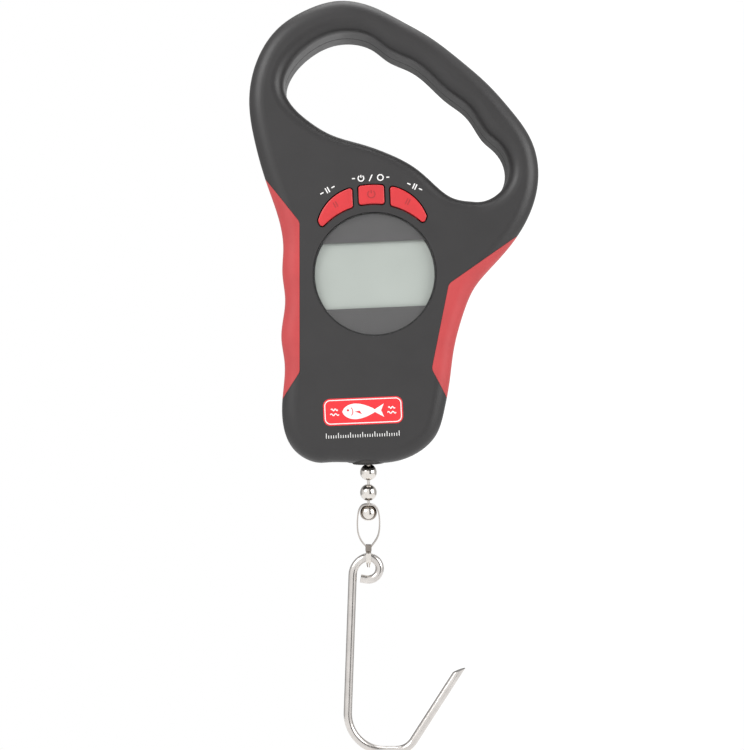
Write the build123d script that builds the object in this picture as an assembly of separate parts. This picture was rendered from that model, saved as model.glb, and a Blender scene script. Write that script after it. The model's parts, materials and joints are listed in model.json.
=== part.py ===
from build123d import *
from math import asin, cos, degrees, radians, sin, sqrt

# Digital fish scale: a hand-held moulded body with an open grip handle, a round display window,
# three buttons, a battery door at the back, and a bead chain with a wire hook below.
# Millimetres. The origin is on the underside of the grip bar, where the fingers carry the load.
# +Z is up, the display faces -Y, and the chain hangs down -Z at x = 0, y = 0.

# ---------------------------------------------------------------- driving dimensions
LEAN = 2.4                       # the body hangs this many degrees off the load line
WINDOW_X, WINDOW_Z = -1.4, -88.7     # display centre from the grip, along the leaning body
HALF_DEPTH = 13.0                # each cover, from the parting plane to its face
OUTER_ROUND = 5.8                # rounding of the body's outer edges
OPENING_ROUND = 4.6              # rounding of the grip opening's edges
SIDE_WALL = 3.2
FACE_WALL = 2.4
SEAM = 0.3                       # chamfer that makes the parting groove
GRIP_SKIN = 1.5                  # thickness of the soft side grips
FIT = 0.1                        # gap between fitted pieces

WINDOW_R = 22.9
WINDOW_THICK = 1.5
APERTURE_R = 22.25
LCD_W, LCD_H, LCD_THICK = 45.6, 29.0, 2.8
LCD_FACE = -10.4                 # y of the LCD glass front
PCB_FRONT, PCB_THICK = -4.6, 1.6
PCB_BACK = PCB_FRONT + PCB_THICK
FACE_INSIDE = -HALF_DEPTH + FACE_WALL

BUTTON_INNER_R = 26.0
BUTTON_OUTER_R = 33.0
BUTTON_SHOULDER_R = 32.05        # outer radius halfway along the side buttons
BUTTON_TAPER_R = 28.8            # outer radius at the far ends of the side buttons
BUTTON_CORNER = 1.0
CENTRE_HALF_WIDTH = 4.75
SIDE_START_X = 7.0               # straight inner edge of each side button
BUTTON_PROUD = 0.5
BUTTON_TRAVEL = 0.5
BUTTON_GAP = 0.45
SWITCH_R = 29.6                  # switches stand on this circle about the display
SIDE_SWITCH_ANGLE = 27.0

CELL_R, CELL_LENGTH = 5.2, 43.3  # AAA cell without its nub
CELL_Y = 5.05
TUB_X = (-25.2, 22.8)            # battery tub, inside faces
TUB_Z = (-13.6, 9.6)
TUB_WALL = 1.2
TUB_FLOOR = -0.4
TAB_Y = (3.6, 4.6)                # solder tabs of the left contacts, through the tub wall
TAB_HALF_HEIGHT = 1.2
DOOR_X = (-25.9, 23.5)
DOOR_Z = (-16.0, 12.0)
DOOR_THICK = 2.4
DOOR_GAP = 0.2
HINGE_PIN_R = 0.65
HINGE_CLEARANCE = 0.08           # radial
HINGE_PIN_LENGTH = 1.4

BEAD_R, BEAD_WALL = 3.175, 0.5
BEAD_PITCH = 7.7
BEAD_HOLE_R = 1.2
LINK_R, LINK_HEAD_R = 0.55, 1.45
LINK_PIVOT = 1.55                # link head centre from the bead centre
FIRST_BEAD_Z = -147.6
WIRE_R = 3.175 / 2               # 1/8 inch hook wire
EYE_TOP_Z = -195.3               # hook eye wire centre where it hangs
EYE_R = 4.25
HOOK_BOTTOM_Z = -268.7

# ---------------------------------------------------------------- outlines, from the display centre
OUTER_POINTS = [
    (-22.0, -69.4), (-7.5, -70.1), (7.0, -69.6), (14.9, -66.2), (20.5, -60.8), (23.9, -52.0),
    (26.4, -41.0), (28.3, -30.0), (32.9, -15.0), (37.0, -6.6), (43.4, 0.6), (51.6, 9.2),
    (59.2, 20.9), (62.8, 34.5), (60.9, 47.4), (53.3, 59.8), (45.2, 69.6), (35.5, 78.8),
    (24.9, 87.6), (12.6, 95.3), (3.1, 100.4), (-8.5, 103.0), (-21.4, 100.1), (-32.6, 93.4),
    (-40.7, 81.9), (-44.2, 67.0), (-42.8, 52.0), (-39.0, 36.0), (-34.8, 21.5), (-33.8, 11.0),
    (-34.5, 2.5), (-33.9, -8.2), (-35.9, -22.0), (-35.1, -31.0), (-36.5, -45.5), (-36.4, -55.6),
    (-32.6, -64.4),
]
OPENING_POINTS = [
    (38.5, 25.7), (46.6, 27.8), (51.3, 33.8), (51.4, 41.0), (48.0, 46.9), (44.1, 50.7),
    (41.2, 55.2), (37.6, 60.7), (30.6, 66.6), (24.6, 72.6), (17.4, 78.8), (8.4, 83.5),
    (3.0, 87.9), (-4.7, 90.6), (-13.5, 89.9), (-21.8, 85.7), (-28.5, 78.9), (-31.0, 71.5),
    (-28.5, 64.9), (-22.0, 58.2), (-14.0, 52.9), (-3.0, 49.0), (8.2, 44.4), (16.5, 39.5),
    (23.2, 33.3), (30.5, 27.4),
]
LEFT_GRIP_POINTS = [(-50, 52), (-27.0, 20.4), (-29.3, -35.1), (-50, -64)]
RIGHT_GRIP_POINTS = [(66, 20), (27.3, -4.8), (19.7, -36.0), (40, -78)]

CASE_SCREWS = [(-27.2, 89.6), (21.2, 83.2), (57.2, 38.0), (-32.5, 50.0), (45.0, 15.5),
               (-27.5, -57.0), (14.5, -58.0)]
PCB_SCREWS = [(-25.5, -21.5), (22.5, -21.5), (-25.5, 23.5), (23.0, 18.8)]
PCB_POINTS = [(-28, -24), (25, -24), (25, 21), (14.5, 33), (-20, 33), (-28, 27)]

body_place = Rot(0, -LEAN, 0) * Pos(WINDOW_X, 0, WINDOW_Z)


# ---------------------------------------------------------------- helpers
def prism(outline, y_low, y_high):
    """Solid between two depths, from an outline drawn in x and z."""
    return extrude(Plane.XZ.offset(-y_high) * outline, y_high - y_low)


def rod(x, z, radius, y_low, y_high):
    """Cylinder that runs front to back."""
    return prism(Pos(x, z) * Circle(radius), y_low, y_high)


def block(x_range, y_range, z_range):
    """Rectangular solid given by its limits."""
    size = [high - low for low, high in (x_range, y_range, z_range)]
    middle = [(high + low) / 2 for low, high in (x_range, y_range, z_range)]
    return Pos(*middle) * Box(*size)


def clock(radius, angle):
    """Point at an angle clockwise from straight up, about the display centre."""
    return (radius * sin(radians(angle)), radius * cos(radians(angle)))


def along_load_line(z):
    """Point in the body's own frame where the load line passes height z (object frame)."""
    x = z * sin(radians(LEAN)) - WINDOW_X
    return (x, z * cos(radians(LEAN)) - WINDOW_Z)


def face_edges(solid):
    """Outer and inner edges of the frontmost face."""
    face = solid.faces().sort_by(Axis.Y)[0]
    inner = [edge for wire in face.inner_wires() for edge in wire.edges()]
    return face.outer_wire().edges(), inner


def save(name, shape):
    """Write one node. A list becomes a group of separate solids."""
    if isinstance(shape, list):
        shape = Compound(children=[solid for item in shape for solid in item.solids()])
    export_step(shape, f"parts/{name}.step")


def save_body(name, shape):
    """Write one node of the leaning body."""
    if isinstance(shape, list):
        shape = Compound(children=[solid for item in shape for solid in item.solids()])
    save(name, body_place * shape)


# ---------------------------------------------------------------- moulded body
def loop(points, inset=0.0):
    """Face inside a smooth closed outline, moved inwards by an inset."""
    ring = Spline(*points, periodic=True)
    if inset:
        steps = 2 * len(points)
        places = [(ring @ (step / steps), ring % (step / steps)) for step in range(steps)]
        inner = [(at.X - inset * way.Y, at.Y + inset * way.X) for at, way in places]
        ring = Spline(*inner, periodic=True)
    return make_face(Curve() + [ring])


outer_face = loop(OUTER_POINTS)
opening_face = loop(OPENING_POINTS)


def half_moulding():
    """Outside shape of the front cover, before it is hollowed."""
    solid = extrude(Plane.XZ * (outer_face - opening_face), HALF_DEPTH)
    outer_edges, _ = face_edges(solid)
    solid = fillet(outer_edges, OUTER_ROUND)
    _, opening_edges = face_edges(solid)
    solid = fillet(opening_edges, OPENING_ROUND)
    seam_face = solid.faces().sort_by(Axis.Y)[-1]
    return chamfer(seam_face.edges(), SEAM)


def inset_slab(inset):
    """The body's outside without its opening, moved inwards by an even distance."""
    slab = prism(loop(OUTER_POINTS, inset), inset - HALF_DEPTH, HALF_DEPTH - inset)
    faces = slab.faces().sort_by(Axis.Y)
    return fillet(faces[0].edges() + faces[-1].edges(), OUTER_ROUND - inset)


def grip_zone(points, growth=0.0):
    """Area of the body that one side grip covers."""
    zone = make_face(Polyline(*points, close=True))
    inner_corners = zone.vertices().sort_by_distance((0, 0))[:2]
    zone = fillet(inner_corners, 3.0)
    if growth:
        zone = offset(zone, growth)
    return prism(zone, -HALF_DEPTH - 1, HALF_DEPTH + 1)


outside = half_moulding()
cavity_face = loop(OUTER_POINTS, SIDE_WALL) - loop(OPENING_POINTS, -SIDE_WALL)
full_slab = inset_slab(0)
grip_core = inset_slab(GRIP_SKIN)
seat_core = inset_slab(GRIP_SKIN + FIT)
grip_sides = {"left": LEFT_GRIP_POINTS, "right": RIGHT_GRIP_POINTS}
grip_seats = [grip_zone(points, FIT) - seat_core for points in grip_sides.values()]
print("slabs done")

for side, points in grip_sides.items():
    grip = (full_slab & grip_zone(points)) - grip_core
    save_body(f"{side}_grip", grip)
print("grips done")


# ---------------------------------------------------------------- buttons and switches
def sector(inner, outer):
    """Face between two arcs, each given by three points; the outer arc runs back the other way."""
    edges = [ThreePointArc(*inner), Line(inner[2], outer[0])]
    edges += [ThreePointArc(*outer), Line(outer[2], inner[0])]
    return make_face(Curve() + edges)


def button_outline(side):
    """Outline of one button. side is -1 left, 0 centre, 1 right."""
    edge_x = CENTRE_HALF_WIDTH if side == 0 else SIDE_START_X
    low = degrees(asin(edge_x / BUTTON_INNER_R))
    high = degrees(asin(edge_x / BUTTON_OUTER_R))
    if side == 0:
        inner = [clock(BUTTON_INNER_R, angle) for angle in (-low, 0, low)]
        outer = [clock(BUTTON_OUTER_R, angle) for angle in (high, 0, -high)]
    else:
        inner = [clock(BUTTON_INNER_R, angle * side) for angle in (low, 31, 47)]
        taper = ((BUTTON_TAPER_R, 44.4), (BUTTON_SHOULDER_R, 28), (BUTTON_OUTER_R, high))
        outer = [clock(radius, angle * side) for radius, angle in taper]
    face = sector(inner, outer)
    return fillet(face.vertices(), BUTTON_CORNER)


def button_flange(side):
    """Part of the button that is wider than its hole, behind the front wall."""
    low, high = (-7, 7) if side == 0 else (16, 40)
    middle = (low + high) / 2
    sign = side or 1
    outer_r = BUTTON_OUTER_R + 1.0 if side == 0 else BUTTON_TAPER_R + 1.4
    inner = [clock(BUTTON_INNER_R - 1.0, angle * sign) for angle in (low, middle, high)]
    outer = [clock(outer_r, angle * sign) for angle in (high, middle, low)]
    return sector(inner, outer)


BUTTONS = {"left": -1, "centre": 0, "right": 1}
FLANGE_FRONT = FACE_INSIDE + FIT
FLANGE_BACK = FLANGE_FRONT + 1.1
SWITCH_FRONT = PCB_FRONT - 3.1
PLUNGER_FRONT = SWITCH_FRONT - 0.8
PLUNGER_R = 1.6
switch_bodies = []
button_holes = []
for side_name, side in BUTTONS.items():
    outline = button_outline(side)
    switch_x, switch_z = clock(SWITCH_R, SIDE_SWITCH_ANGLE * side)
    cap = prism(outline, -HALF_DEPTH - BUTTON_PROUD, FLANGE_FRONT + 0.2)
    cap = fillet(face_edges(cap)[0], 0.45)
    flange = prism(button_flange(side), FLANGE_FRONT, FLANGE_BACK)
    stem = rod(switch_x, switch_z, 1.5, FLANGE_BACK - 0.2, PLUNGER_FRONT)
    save_body(f"button_{side_name}", cap + flange + stem)
    plunger = rod(switch_x, switch_z, PLUNGER_R, PLUNGER_FRONT, SWITCH_FRONT + 0.7)
    save_body(f"plunger_{side_name}", plunger)
    switch = Pos(switch_x, (SWITCH_FRONT + PCB_FRONT) / 2, switch_z) * Box(6, 3.1, 6)
    bore_end = SWITCH_FRONT + 0.7 + BUTTON_TRAVEL + FIT
    switch_bodies.append(switch - rod(switch_x, switch_z, PLUNGER_R + FIT, SWITCH_FRONT - 1, bore_end))
    button_holes.append(prism(offset(outline, BUTTON_GAP), -HALF_DEPTH - 1, FACE_INSIDE + 1))
save_body("switch_bodies", switch_bodies)

# ---------------------------------------------------------------- chain exit
exit_x, exit_z = along_load_line(-158.85)
BUSH_BORE_R, BUSH_NECK_R, BUSH_FLANGE_R = 4.3, 5.4, 6.5
BUSH_LIP = 0.8
LIP_OVAL = (6.2, 8.8)            # half sizes across and front to back, below the body
FOOT_OVAL = (8.0, 10.8)          # the wider part that is let into the body's bottom
FOOT_HEIGHT = 1.5


def upright(radius, z_low, z_high):
    """Cylinder along the body's own z axis at the chain exit."""
    return Pos(exit_x, 0, (z_low + z_high) / 2) * Cylinder(radius, z_high - z_low)


def upright_oval(half_sizes, growth, z_low, z_high):
    """Oval column along the body's own z axis at the chain exit."""
    oval = Ellipse(half_sizes[0] + growth, half_sizes[1] + growth)
    return Pos(exit_x, 0, z_low) * extrude(oval, z_high - z_low)


wall_top = exit_z + SIDE_WALL + 0.5
lip = upright_oval(LIP_OVAL, 0, exit_z - BUSH_LIP, exit_z + 0.2)
bush = chamfer(lip.edges().sort_by(Axis.Z)[0], 0.3)
bush += upright_oval(FOOT_OVAL, 0, exit_z, exit_z + FOOT_HEIGHT)
bush += upright(BUSH_NECK_R, exit_z, wall_top + 0.9)
bush += upright(BUSH_FLANGE_R, wall_top + 0.1, wall_top + 0.9)
bush -= upright(BUSH_BORE_R, exit_z - 5, exit_z + 10)
save_body("exit_bush", bush)
exit_boss = upright(BUSH_FLANGE_R + 1.5, exit_z + FOOT_HEIGHT + FIT, wall_top)
exit_hole = upright(BUSH_NECK_R + FIT, exit_z - 5, exit_z + 10)
exit_seat = upright_oval(FOOT_OVAL, FIT, exit_z - 5, exit_z + FOOT_HEIGHT + FIT)

# ---------------------------------------------------------------- load cell and its fixings
CELL_BLOCK_X = (-17.5, 8.5)
CELL_BLOCK_Y = (-6.0, 6.0)
CELL_BLOCK_Z = (-54.0, -26.5)
MOUNT_SCREWS = [(-12.5, -30.0), (3.5, -30.0)]
BRACKET_SCREWS = [(-9.5, -50.6), (0.5, -50.6)]

# ---------------------------------------------------------------- covers
SPIGOT_R, SPIGOT_END = 2.2, 1.1
PILOT_R = 1.22
WELL_R, WELL_FLOOR = 2.8, 3.5
cavity = prism(cavity_face, FACE_INSIDE, 0.01)
boss_rods = [rod(x, z, 3.3, FACE_INSIDE - 0.5, 0) for x, z in CASE_SCREWS]
boss_rods += [rod(x, z, 1.9, FACE_INSIDE - 0.5, PCB_FRONT) for x, z in PCB_SCREWS]
boss_rods += [rod(x, z, 3.4, FACE_INSIDE - 0.5, CELL_BLOCK_Y[0]) for x, z in MOUNT_SCREWS]
spigots = [rod(x, z, SPIGOT_R, -1, SPIGOT_END) for x, z in CASE_SCREWS]
pilots = [rod(x, z, PILOT_R, -9.6, SPIGOT_END + 1) for x, z in CASE_SCREWS]
pilots += [rod(x, z, 1.02, -9.6, PCB_FRONT + 1) for x, z in PCB_SCREWS]
pilots += [rod(x, z, 1.52, -9.9, CELL_BLOCK_Y[0] + 1) for x, z in MOUNT_SCREWS]
window_holes = [rod(0, 0, WINDOW_R + FIT, -HALF_DEPTH - 1, -HALF_DEPTH + WINDOW_THICK + 0.1)]
window_holes.append(rod(0, 0, APERTURE_R, -HALF_DEPTH - 1, FACE_INSIDE + 1))

front_cover = outside - [cavity, *grip_seats]
front_half = block((-80, 80), (-20, 0), (-90, 120))
front_cover += [*boss_rods, *spigots, exit_boss & front_half]
front_cover -= [*pilots, *window_holes, *button_holes, exit_hole, exit_seat]
save_body("front_cover", front_cover)
print("front cover", round(front_cover.volume), len(front_cover.solids()))

tub_middle = (TUB_Z[0] + TUB_Z[1]) / 2
upper_z = tub_middle + 5.9
lower_z = tub_middle - 5.9
tub_outer = block((TUB_X[0] - TUB_WALL, TUB_X[1] + TUB_WALL),
                  (TUB_FLOOR - 1.1, HALF_DEPTH - DOOR_THICK - 0.1),
                  (TUB_Z[0] - TUB_WALL, TUB_Z[1] + TUB_WALL))
tub_inner = block(TUB_X, (TUB_FLOOR, HALF_DEPTH + 1), TUB_Z)
door_hole = block(DOOR_X, (HALF_DEPTH - DOOR_THICK - 0.1, HALF_DEPTH + 1), DOOR_Z)
door_axis_y = HALF_DEPTH - DOOR_THICK / 2
door_axis_z = DOOR_Z[1] - DOOR_GAP - DOOR_THICK / 2
pin_reach = HINGE_PIN_LENGTH - DOOR_GAP + FIT


def door_pin(radius, reach):
    """Pin line of the battery door, as long as the door hole plus its reach each side."""
    length = DOOR_X[1] - DOOR_X[0] + 2 * reach
    middle = (DOOR_X[0] + DOOR_X[1]) / 2
    return Pos(middle, door_axis_y, door_axis_z) * Rot(0, 90, 0) * Cylinder(radius, length)


rear_bosses = [rod(x, z, 3.9, 0, HALF_DEPTH - 2.2) for x, z in CASE_SCREWS]
rear_holes = [rod(x, z, WELL_R, WELL_FLOOR, HALF_DEPTH + 1) for x, z in CASE_SCREWS]
rear_holes += [rod(x, z, 1.5, -1, WELL_FLOOR + 1) for x, z in CASE_SCREWS]
rear_holes += [rod(x, z, SPIGOT_R + FIT, -1, SPIGOT_END + FIT) for x, z in CASE_SCREWS]
tab_slot_x = (TUB_X[0] - TUB_WALL - 1, TUB_X[0] + 1)
tab_slot_y = (TAB_Y[0] - FIT, TAB_Y[1] + FIT)
for z in (upper_z, lower_z):
    tab_slot_z = (z - TAB_HALF_HEIGHT - FIT, z + TAB_HALF_HEIGHT + FIT)
    rear_holes.append(block(tab_slot_x, tab_slot_y, tab_slot_z))
door_surround = block((DOOR_X[0] - 3.0, DOOR_X[1] + 3.0),
                      (HALF_DEPTH - FACE_WALL - 1.2, HALF_DEPTH - 1.0),
                      (DOOR_Z[0] - 2.0, DOOR_Z[1] + 2.0))

rear_cover = mirror(outside, Plane.XZ) - mirror(cavity, Plane.XZ)
rear_cover += [*rear_bosses, door_surround, tub_outer, exit_boss - front_half]
rear_cover -= [*rear_holes, tub_inner, door_hole, exit_hole, exit_seat]
rear_cover -= [door_pin(HINGE_PIN_R + HINGE_CLEARANCE, pin_reach), *grip_seats]
save_body("rear_cover", rear_cover)
print("rear cover", round(rear_cover.volume), len(rear_cover.solids()))

# ---------------------------------------------------------------- display
window = rod(0, 0, WINDOW_R, -HALF_DEPTH, -HALF_DEPTH + WINDOW_THICK)
window = chamfer(face_edges(window)[0], 0.2)
save_body("display_window", window)

LCD_Z = -0.2
LCD_BACK = LCD_FACE + LCD_THICK
FRAME_RIM = 1.2
lcd_half_w, lcd_half_h = LCD_W / 2, LCD_H / 2
lcd = block((-lcd_half_w, lcd_half_w), (LCD_FACE, LCD_BACK), (LCD_Z - lcd_half_h, LCD_Z + lcd_half_h))
save_body("lcd_panel", lcd)
frame_x = lcd_half_w + FRAME_RIM
frame_z = lcd_half_h + FRAME_RIM
lcd_frame = block((-frame_x, frame_x), (FACE_INSIDE + 0.05, PCB_FRONT),
                  (LCD_Z - frame_z, LCD_Z + frame_z))
lcd_frame = fillet(lcd_frame.edges().filter_by(Axis.Y), 1.0)
lcd_frame -= block((-lcd_half_w - FIT, lcd_half_w + FIT), (-20, 0),
                   (LCD_Z - lcd_half_h - FIT, LCD_Z + lcd_half_h + FIT))
save_body("lcd_frame", lcd_frame)
backlight = block((-21.5, 21.5), (LCD_BACK + FIT, LCD_BACK + 1.5), (LCD_Z - 12.2, LCD_Z + 12.2))
save_body("backlight_panel", backlight)
zebra_strips = []
for side in (-1, 1):
    middle = LCD_Z + side * 13.4
    zebra_strips.append(block((-20, 20), (LCD_BACK, PCB_FRONT), (middle - 0.9, middle + 0.9)))
save_body("zebra_strips", zebra_strips)

# ---------------------------------------------------------------- circuit board
pcb = prism(make_face(Polyline(*PCB_POINTS, close=True)), PCB_FRONT, PCB_BACK)
pcb -= [rod(x, z, 1.1, -10, 0) for x, z in PCB_SCREWS]
save_body("pcb", pcb)
save_body("controller_chip", block((-9.5, 0.5), (PCB_BACK, PCB_BACK + 1.4), (15.0, 25.0)))
COMPONENTS = [(6, 18, 2.0, 1.2), (6, 22, 3.2, 1.6), (10.5, 20, 2.0, 1.2), (-14, 18, 2.0, 1.2),
              (-14, 22, 3.2, 1.6), (-18.5, 20, 3.2, 2.5), (-14, 28, 8.0, 3.4), (2, 29, 3.2, 1.6)]
components = []
for x, z, width, height in COMPONENTS:
    part = block((x - width / 2, x + width / 2), (PCB_BACK, PCB_BACK + 1.2),
                 (z - height / 2, z + height / 2))
    components.append(chamfer(part.edges().filter_by(Axis.Z), 0.2))
save_body("pcb_components", components)

# ---------------------------------------------------------------- batteries and contacts
CONTACT_Y = (0.4, 9.8)
CONTACT_THICK = 0.4
SPRING_LENGTH = 3.0
SPRING_WIRE_R = 0.3
SPRING_R = 3.4
SPRING_TURNS = 3
left_plate_x = TUB_X[0] + CONTACT_THICK
right_plate_x = TUB_X[1] - CONTACT_THICK
NUB_LENGTH, NUB_R = 0.9, 1.9


def battery(nub_x, z, direction):
    """AAA cell lying along x. direction is +1 when its body runs right from the nub."""
    centre = nub_x + direction * (NUB_LENGTH + CELL_LENGTH / 2)
    cell = Pos(centre, CELL_Y, z) * Rot(0, 90, 0) * Cylinder(CELL_R, CELL_LENGTH)
    cell = fillet(cell.edges().filter_by(GeomType.CIRCLE), 0.5)
    nub = Pos(nub_x + direction * NUB_LENGTH, CELL_Y, z) * Rot(0, 90, 0) * Cylinder(NUB_R, 2 * NUB_LENGTH)
    return cell + nub


def contact_spring(plate_x, z, direction):
    """Coil that stands on a contact plate and presses on a cell's flat end."""
    height = SPRING_LENGTH - 2 * SPRING_WIRE_R - 0.04
    coil = Helix(pitch=height / SPRING_TURNS, height=height, radius=SPRING_R)
    spring = sweep(Plane(origin=coil @ 0, z_dir=coil % 0) * Circle(SPRING_WIRE_R), path=coil)
    start_x = plate_x + direction * (SPRING_WIRE_R + 0.02)
    return Pos(start_x, CELL_Y, z) * Rot(0, 90 * direction, 0) * spring


save_body("battery_upper", battery(left_plate_x, upper_z, 1))
save_body("battery_lower", battery(right_plate_x, lower_z, -1))


def contact_plate(x_range, z_range):
    """Thin plate at one end of the tub."""
    return block(x_range, CONTACT_Y, z_range)


left_range = (TUB_X[0], left_plate_x)
tab_range = (TUB_X[0] - TUB_WALL - 1.2, left_plate_x)
positive = contact_plate(left_range, (upper_z - 3.6, upper_z + 3.6))
positive += block(tab_range, TAB_Y, (upper_z - TAB_HALF_HEIGHT, upper_z + TAB_HALF_HEIGHT))
save_body("positive_contact", positive)
negative = contact_plate(left_range, (lower_z - 4.4, lower_z + 4.4))
negative += block(tab_range, TAB_Y, (lower_z - TAB_HALF_HEIGHT, lower_z + TAB_HALF_HEIGHT))
save_body("negative_contact", negative)
save_body("series_contact", contact_plate((right_plate_x, TUB_X[1]), (lower_z - 4.4, upper_z + 4.4)))
springs = [contact_spring(left_plate_x, lower_z, 1), contact_spring(right_plate_x, upper_z, -1)]
save_body("battery_springs", springs)

# ---------------------------------------------------------------- battery door
door = block((DOOR_X[0] + DOOR_GAP, DOOR_X[1] - DOOR_GAP), (HALF_DEPTH - DOOR_THICK, HALF_DEPTH),
             (DOOR_Z[0] + DOOR_GAP, DOOR_Z[1] - DOOR_GAP))
hinge_edges = door.edges().filter_by(Axis.X).sort_by(Axis.Z)[-2:]
door = fillet(hinge_edges, DOOR_THICK / 2 - 0.01)
lower_corners = door.edges().filter_by(Axis.Y).sort_by(Axis.Z)[:2]
door = fillet(lower_corners, 1.5)
door += door_pin(HINGE_PIN_R, HINGE_PIN_LENGTH - DOOR_GAP)
door_middle = (DOOR_X[0] + DOOR_X[1]) / 2
door -= rod(door_middle, DOOR_Z[0], 7.0, HALF_DEPTH - 0.9, HALF_DEPTH + 1)
for step in range(3):
    ridge_z = DOOR_Z[0] + 1.4 + 1.5 * step
    door += block((door_middle - 3.5, door_middle + 3.5), (HALF_DEPTH - 1.0, HALF_DEPTH - 0.4),
                  (ridge_z - 0.35, ridge_z + 0.35))
save_body("battery_door", door)


# ---------------------------------------------------------------- load cell
SLOT = 0.8
cell_middle_x = (CELL_BLOCK_X[0] + CELL_BLOCK_X[1]) / 2
cell_middle_z = (CELL_BLOCK_Z[0] + CELL_BLOCK_Z[1]) / 2
load_cell = block(CELL_BLOCK_X, CELL_BLOCK_Y, CELL_BLOCK_Z)
load_cell = chamfer(load_cell.edges().filter_by(Axis.Y), 0.4)
upper_slot_z = CELL_BLOCK_Z[1] - 7.0
lower_slot_z = CELL_BLOCK_Z[0] + 7.0
through = (-9, 9)
upper_slot = block((CELL_BLOCK_X[0] - 1, CELL_BLOCK_X[1] - 7), through,
                   (upper_slot_z - SLOT, upper_slot_z))
lower_slot = block((CELL_BLOCK_X[0] + 7, CELL_BLOCK_X[1] + 1), through,
                   (lower_slot_z, lower_slot_z + SLOT))
load_cell -= [upper_slot, lower_slot]
load_cell -= [rod(cell_middle_x + shift, cell_middle_z, 3.4, *through) for shift in (-4.2, 4.2)]
load_cell -= block((cell_middle_x - 4.2, cell_middle_x + 4.2), through,
                   (cell_middle_z - 0.6, cell_middle_z + 0.6))
load_cell -= [rod(x, z, 1.6, -9, 9) for x, z in MOUNT_SCREWS]
load_cell -= [rod(x, z, 1.52, -9, 9) for x, z in BRACKET_SCREWS]
save_body("load_cell", load_cell)
GAUGE_THICK = 0.15
gauge_z = (cell_middle_z - 3, cell_middle_z + 3)
gauges = [block((CELL_BLOCK_X[0] - GAUGE_THICK, CELL_BLOCK_X[0]), (-2, 2), gauge_z),
          block((CELL_BLOCK_X[1], CELL_BLOCK_X[1] + GAUGE_THICK), (-2, 2), gauge_z)]
save_body("strain_gauges", gauges)

bead_x, bead_z = along_load_line(FIRST_BEAD_Z)
SEAT_R = 1.5
BRACKET_THICK = 1.2
ledge_top = bead_z - sqrt(BEAD_R**2 - SEAT_R**2) - 0.03
leg_y = (CELL_BLOCK_Y[1], CELL_BLOCK_Y[1] + BRACKET_THICK)
bracket = block((cell_middle_x - 8, cell_middle_x + 8), leg_y, (ledge_top - BRACKET_THICK, -46.8))
bracket += block((bead_x - 5, bead_x + 5), (-5.0, leg_y[1]), (ledge_top - BRACKET_THICK, ledge_top))
bracket = fillet(bracket.edges().filter_by(Axis.X).sort_by(Axis.Z)[:1], 0.4)
bracket -= Pos(bead_x, 0, ledge_top) * Cylinder(SEAT_R, 6)
bracket -= block((bead_x - 0.8, bead_x + 0.8), (-8, 0), (ledge_top - 3, ledge_top + 1))
bracket -= [rod(x, z, 1.6, 0, 12) for x, z in BRACKET_SCREWS]
save_body("draw_bracket", bracket)


# ---------------------------------------------------------------- screws
def screw(x, z, seat_y, tip_y, head_r, head_height, shank_r):
    """Cross-head screw that is driven from the back."""
    head = rod(x, z, head_r, seat_y, seat_y + head_height)
    rim = head.edges().filter_by(GeomType.CIRCLE).sort_by(Axis.Y)[-1]
    head = fillet(rim, head_height * 0.45)
    slot_y = (seat_y + head_height * 0.4, seat_y + head_height + 1)
    arm, half_width = head_r * 0.62, head_r * 0.13
    head -= block((x - arm, x + arm), slot_y, (z - half_width, z + half_width))
    head -= block((x - half_width, x + half_width), slot_y, (z - arm, z + arm))
    return head + rod(x, z, shank_r, tip_y, seat_y)


save_body("case_screws", [screw(x, z, WELL_FLOOR, -8.5, 2.35, 1.6, 1.2) for x, z in CASE_SCREWS])
save_body("pcb_screws", [screw(x, z, PCB_BACK, -9.0, 1.75, 1.2, 1.0) for x, z in PCB_SCREWS])
mount_screws = [screw(x, z, CELL_BLOCK_Y[1], -9.4, 2.6, 1.8, 1.5) for x, z in MOUNT_SCREWS]
save_body("load_cell_screws", mount_screws)
save_body("bracket_screws", [screw(x, z, leg_y[1], -4.0, 2.6, 1.8, 1.5) for x, z in BRACKET_SCREWS])


# ---------------------------------------------------------------- internal wires
def wire(points, radius):
    """Round lead along straight runs joined by the largest arcs that fit."""
    runs = [Vector(*end) - Vector(*start) for start, end in zip(points, points[1:])]
    radii = []
    for before, after in zip(runs, runs[1:]):
        turn = radians(before.get_angle(after))
        radii.append(0.45 * min(before.length, after.length) * cos(turn / 2) / sin(turn / 2))
    path = FilletPolyline(*points, radius=radii)
    return sweep(Plane(origin=path @ 0, z_dir=path % 0) * Circle(radius), path=path)


tab_end = tab_range[0]
LEAD_R = 0.55
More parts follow.
